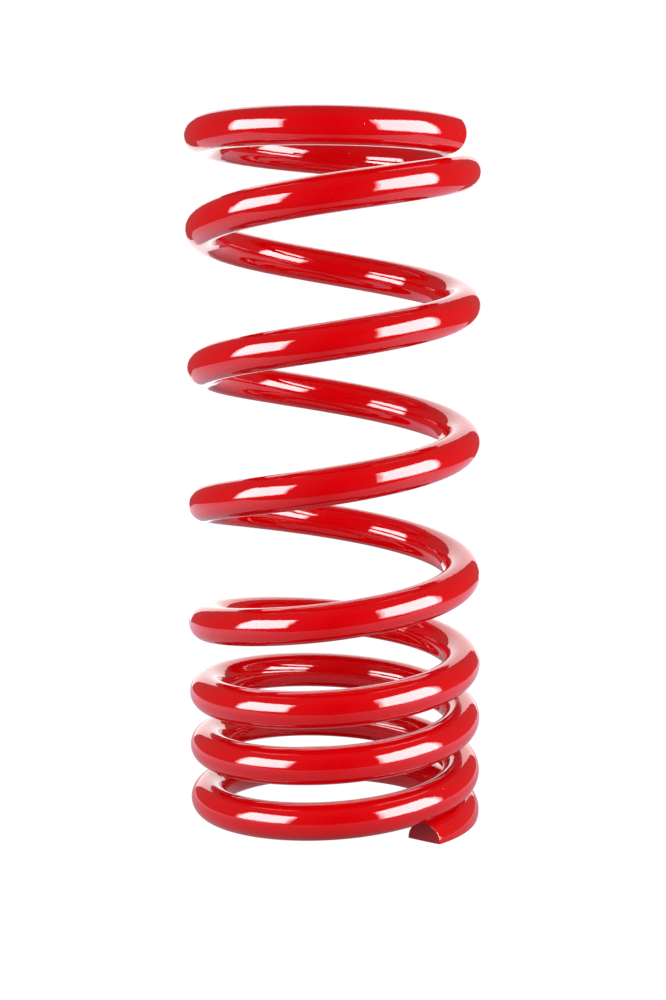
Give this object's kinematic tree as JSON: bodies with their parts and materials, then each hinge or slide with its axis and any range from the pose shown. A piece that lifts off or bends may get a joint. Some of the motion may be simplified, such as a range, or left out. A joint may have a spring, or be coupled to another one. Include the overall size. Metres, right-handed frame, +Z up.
{
  "type": "coil spring",
  "caption": "Right-hand wound suspension compression spring with a ground lower end, closely wound turns below and open turns above.",
  "frame": {"origin": "on the coil axis, in the plane of the ground lower end face", "axes": "+Z up along the coil axis from the ground lower end to the open upper end; the bar starts 42 degrees from -Y towards +X"},
  "size_m": [0.113, 0.113, 0.2713],
  "materials": {
    "red_powder_coat": "gloss"
  },
  "bodies": {
    "seat_end": {"seat_coil_01": "red_powder_coat", "seat_coil_02": "red_powder_coat", "seat_coil_03": "red_powder_coat", "seat_coil_04": "red_powder_coat"},
    "close_turn_01": {"close_turn_01": "red_powder_coat"},
    "close_turn_02": {"close_turn_02": "red_powder_coat"},
    "close_turn_03": {"close_turn_03": "red_powder_coat"},
    "close_turn_04": {"close_turn_04": "red_powder_coat"},
    "close_turn_05": {"close_turn_05": "red_powder_coat"},
    "close_turn_06": {"close_turn_06": "red_powder_coat"},
    "close_turn_07": {"close_turn_07": "red_powder_coat"},
    "close_turn_08": {"close_turn_08": "red_powder_coat"},
    "open_turn_01": {"open_turn_01": "red_powder_coat"},
    "open_turn_02": {"open_turn_02": "red_powder_coat"},
    "open_turn_03": {"open_turn_03": "red_powder_coat"},
    "open_turn_04": {"open_turn_04": "red_powder_coat"},
    "open_turn_05": {"open_turn_05": "red_powder_coat"},
    "open_turn_06": {"open_turn_06": "red_powder_coat"},
    "open_turn_07": {"open_turn_07": "red_powder_coat"},
    "open_turn_08": {"open_turn_08": "red_powder_coat"},
    "open_turn_09": {"open_turn_09": "red_powder_coat"},
    "open_turn_10": {"open_turn_10": "red_powder_coat"},
    "open_turn_11": {"open_turn_11": "red_powder_coat"},
    "open_turn_12": {"open_turn_12": "red_powder_coat"},
    "open_turn_13": {"open_turn_13": "red_powder_coat"},
    "open_turn_14": {"open_turn_14": "red_powder_coat"},
    "open_turn_15": {"open_turn_15": "red_powder_coat"},
    "open_turn_16": {"open_turn_16": "red_powder_coat"},
    "open_turn_17": {"open_turn_17": "red_powder_coat"},
    "top_end": {"top_coil_01": "red_powder_coat", "top_coil_02": "red_powder_coat", "top_coil_03": "red_powder_coat", "top_coil_04": "red_powder_coat"}
  },
  "joints": [
    {"name": "close_twist_01", "type": "hinge", "parent": "seat_end", "child": "close_turn_01", "pos_m": [0.03312, -0.03679, 0.0149], "axis": [-0.7404, -0.6666, -0.0866], "range_deg": [0, 0.699], "stiffness_Nm_per_rad": 300, "springref_deg": -0.31},
    {"name": "close_twist_02", "type": "hinge", "parent": "close_turn_01", "child": "close_turn_02", "pos_m": [0.03974, 0.02951, 0.02161], "axis": [0.5939, -0.7997, -0.0874], "range_deg": [0, 0.965], "stiffness_Nm_per_rad": 300, "springref_deg": -0.32},
    {"name": "close_twist_03", "type": "hinge", "parent": "close_turn_02", "child": "close_turn_03", "pos_m": [-0.02564, 0.04234, 0.02677], "axis": [0.8542, 0.5173, -0.0524], "range_deg": [0, 1.3], "stiffness_Nm_per_rad": 300, "springref_deg": -0.29},
    {"name": "close_twist_04", "type": "hinge", "parent": "close_turn_03", "child": "close_turn_04", "pos_m": [-0.04457, -0.02154, 0.03002], "axis": [-0.4348, 0.8994, -0.045], "range_deg": [0, 1.54], "stiffness_Nm_per_rad": 300, "springref_deg": -0.26},
    {"name": "close_twist", "type": "hinge", "parent": "close_turn_04", "child": "close_turn_05", "pos_m": [0.01725, -0.04639, 0.03445], "axis": [-0.9344, -0.3475, -0.0786], "range_deg": [0, 1.84], "stiffness_Nm_per_rad": 300, "springref_deg": -0.26},
    {"name": "close_twist_06", "type": "hinge", "parent": "close_turn_05", "child": "close_turn_06", "pos_m": [0.04781, 0.01281, 0.04102], "axis": [0.2577, -0.9618, -0.0923], "range_deg": [0, 1.65], "stiffness_Nm_per_rad": 300, "springref_deg": -0.27},
    {"name": "close_twist_07", "type": "hinge", "parent": "close_turn_06", "child": "close_turn_07", "pos_m": [-0.00826, 0.04881, 0.04681], "axis": [0.9841, 0.1665, -0.0614], "range_deg": [0, 1.02], "stiffness_Nm_per_rad": 300, "springref_deg": -0.26},
    {"name": "close_twist_08", "type": "hinge", "parent": "close_turn_07", "child": "close_turn_08", "pos_m": [-0.04937, -0.00363, 0.05031], "axis": [-0.0732, 0.9964, -0.0418], "range_deg": [0, 1.34], "stiffness_Nm_per_rad": 300, "springref_deg": -0.23},
    {"name": "open_twist_01", "type": "hinge", "parent": "close_turn_08", "child": "open_turn_01", "pos_m": [-0.00104, -0.04949, 0.05416], "axis": [-0.9972, 0.0209, -0.0713], "range_deg": [0, 2.38], "stiffness_Nm_per_rad": 300, "springref_deg": -0.21},
    {"name": "open_twist_02", "type": "hinge", "parent": "open_turn_01", "child": "open_turn_02", "pos_m": [0.04947, -0.00159, 0.06127], "axis": [-0.0319, -0.9943, -0.1014], "range_deg": [0, 2.11], "stiffness_Nm_per_rad": 300, "springref_deg": -0.23},
    {"name": "open_twist_03", "type": "hinge", "parent": "open_turn_02", "child": "open_turn_03", "pos_m": [0.00213, 0.04945, 0.06901], "axis": [0.9943, -0.0429, -0.0977], "range_deg": [0, 3.86], "stiffness_Nm_per_rad": 300, "springref_deg": -0.22},
    {"name": "open_twist_04", "type": "hinge", "parent": "open_turn_03", "child": "open_turn_04", "pos_m": [-0.04943, 0.00268, 0.07694], "axis": [0.0539, 0.9924, -0.1102], "range_deg": [0, 6.02], "stiffness_Nm_per_rad": 300, "springref_deg": -0.19},
    {"name": "open_twist_05", "type": "hinge", "parent": "open_turn_04", "child": "open_turn_05", "pos_m": [-0.00323, -0.0494, 0.08627], "axis": [-0.9897, 0.0647, -0.1277], "range_deg": [0, 7.15], "stiffness_Nm_per_rad": 300, "springref_deg": -0.17},
    {"name": "open_twist_06", "type": "hinge", "parent": "open_turn_05", "child": "open_turn_06", "pos_m": [0.04936, -0.00378, 0.09653], "axis": [-0.0756, -0.9877, -0.1366], "range_deg": [0, 8.01], "stiffness_Nm_per_rad": 300, "springref_deg": -0.18},
    {"name": "open_twist_07", "type": "hinge", "parent": "open_turn_06", "child": "open_turn_07", "pos_m": [0.00432, 0.04931, 0.10818], "axis": [0.9823, -0.0861, -0.1664], "range_deg": [0, 9.29], "stiffness_Nm_per_rad": 300, "springref_deg": -0.17},
    {"name": "open_twist_08", "type": "hinge", "parent": "open_turn_07", "child": "open_turn_08", "pos_m": [-0.04926, 0.00487, 0.12233], "axis": [0.0968, 0.9786, -0.1817], "range_deg": [0, 10.14], "stiffness_Nm_per_rad": 300, "springref_deg": -0.14},
    {"name": "open_twist_09", "type": "hinge", "parent": "open_turn_08", "child": "open_turn_09", "pos_m": [-0.00542, -0.0492, 0.13561], "axis": [-0.9819, 0.1081, -0.1553], "range_deg": [0, 10.09], "stiffness_Nm_per_rad": 300, "springref_deg": -0.13},
    {"name": "open_twist_10", "type": "hinge", "parent": "open_turn_09", "child": "open_turn_10", "pos_m": [0.04914, -0.00596, 0.14718], "axis": [-0.1191, -0.9817, -0.1484], "range_deg": [0, 10.07], "stiffness_Nm_per_rad": 300, "springref_deg": -0.13},
    {"name": "open_twist_11", "type": "hinge", "parent": "open_turn_10", "child": "open_turn_11", "pos_m": [0.00651, 0.04907, 0.15974], "axis": [0.9761, -0.1294, -0.1747], "range_deg": [0, 10.59], "stiffness_Nm_per_rad": 300, "springref_deg": -0.12},
    {"name": "open_twist_12", "type": "hinge", "parent": "open_turn_11", "child": "open_turn_12", "pos_m": [-0.04899, 0.00705, 0.17403], "axis": [0.14, 0.9732, -0.1821], "range_deg": [0, 10.48], "stiffness_Nm_per_rad": 300, "springref_deg": -0.1},
    {"name": "open_twist_13", "type": "hinge", "parent": "open_turn_12", "child": "open_turn_13", "pos_m": [-0.00759, -0.04891, 0.18736], "axis": [-0.9761, 0.1515, -0.1561], "range_deg": [0, 9.65], "stiffness_Nm_per_rad": 300, "springref_deg": -0.09},
    {"name": "open_twist_14", "type": "hinge", "parent": "open_turn_13", "child": "open_turn_14", "pos_m": [0.04883, -0.00813, 0.19895], "axis": [-0.1625, -0.9756, -0.1479], "range_deg": [0, 10.14], "stiffness_Nm_per_rad": 300, "springref_deg": -0.09},
    {"name": "open_twist", "type": "hinge", "parent": "open_turn_14", "child": "open_turn_15", "pos_m": [0.00868, 0.04873, 0.21145], "axis": [0.9695, -0.1726, -0.1739], "range_deg": [0, 11.45], "stiffness_Nm_per_rad": 300, "springref_deg": -0.08},
    {"name": "open_twist_16", "type": "hinge", "parent": "open_turn_15", "child": "open_turn_16", "pos_m": [-0.04863, 0.00921, 0.22572], "axis": [0.183, 0.966, -0.1825], "range_deg": [0, 9.88], "stiffness_Nm_per_rad": 300, "springref_deg": -0.06},
    {"name": "open_twist_17", "type": "hinge", "parent": "open_turn_16", "child": "open_turn_17", "pos_m": [-0.00975, -0.04853, 0.2391], "axis": [-0.9688, 0.1947, -0.1534], "range_deg": [0, 6.31], "stiffness_Nm_per_rad": 300, "springref_deg": -0.04},
    {"name": "open_twist_18", "type": "hinge", "parent": "open_turn_17", "child": "top_end", "pos_m": [0.04842, -0.01029, 0.24884], "axis": [-0.2068, -0.9729, -0.1037], "range_deg": [0, 6.16], "stiffness_Nm_per_rad": 300, "springref_deg": -0.04}
  ],
  "couplings": [
    {"joint": "close_twist_01", "follows": "close_twist", "ratio": 0.36995},
    {"joint": "close_twist_02", "follows": "close_twist", "ratio": 0.51493},
    {"joint": "close_twist_03", "follows": "close_twist", "ratio": 0.69697},
    {"joint": "close_twist_04", "follows": "close_twist", "ratio": 0.82747},
    {"joint": "close_twist_06", "follows": "close_twist", "ratio": 0.88732},
    {"joint": "close_twist_07", "follows": "close_twist", "ratio": 0.54678},
    {"joint": "close_twist_08", "follows": "close_twist", "ratio": 0.71737},
    {"joint": "open_twist_01", "follows": "open_twist", "ratio": 0.20653},
    {"joint": "open_twist_02", "follows": "open_twist", "ratio": 0.18269},
    {"joint": "open_twist_03", "follows": "open_twist", "ratio": 0.33572},
    {"joint": "open_twist_04", "follows": "open_twist", "ratio": 0.52409},
    {"joint": "open_twist_05", "follows": "open_twist", "ratio": 0.62316},
    {"joint": "open_twist_06", "follows": "open_twist", "ratio": 0.69792},
    {"joint": "open_twist_07", "follows": "open_twist", "ratio": 0.80983},
    {"joint": "open_twist_08", "follows": "open_twist", "ratio": 0.88428},
    {"joint": "open_twist_09", "follows": "open_twist", "ratio": 0.87939},
    {"joint": "open_twist_10", "follows": "open_twist", "ratio": 0.87776},
    {"joint": "open_twist_11", "follows": "open_twist", "ratio": 0.92336},
    {"joint": "open_twist_12", "follows": "open_twist", "ratio": 0.91364},
    {"joint": "open_twist_13", "follows": "open_twist", "ratio": 0.84121},
    {"joint": "open_twist_14", "follows": "open_twist", "ratio": 0.88436},
    {"joint": "open_twist_16", "follows": "open_twist", "ratio": 0.86159},
    {"joint": "open_twist_17", "follows": "open_twist", "ratio": 0.54948},
    {"joint": "open_twist_18", "follows": "open_twist", "ratio": 0.53667}
  ]
}
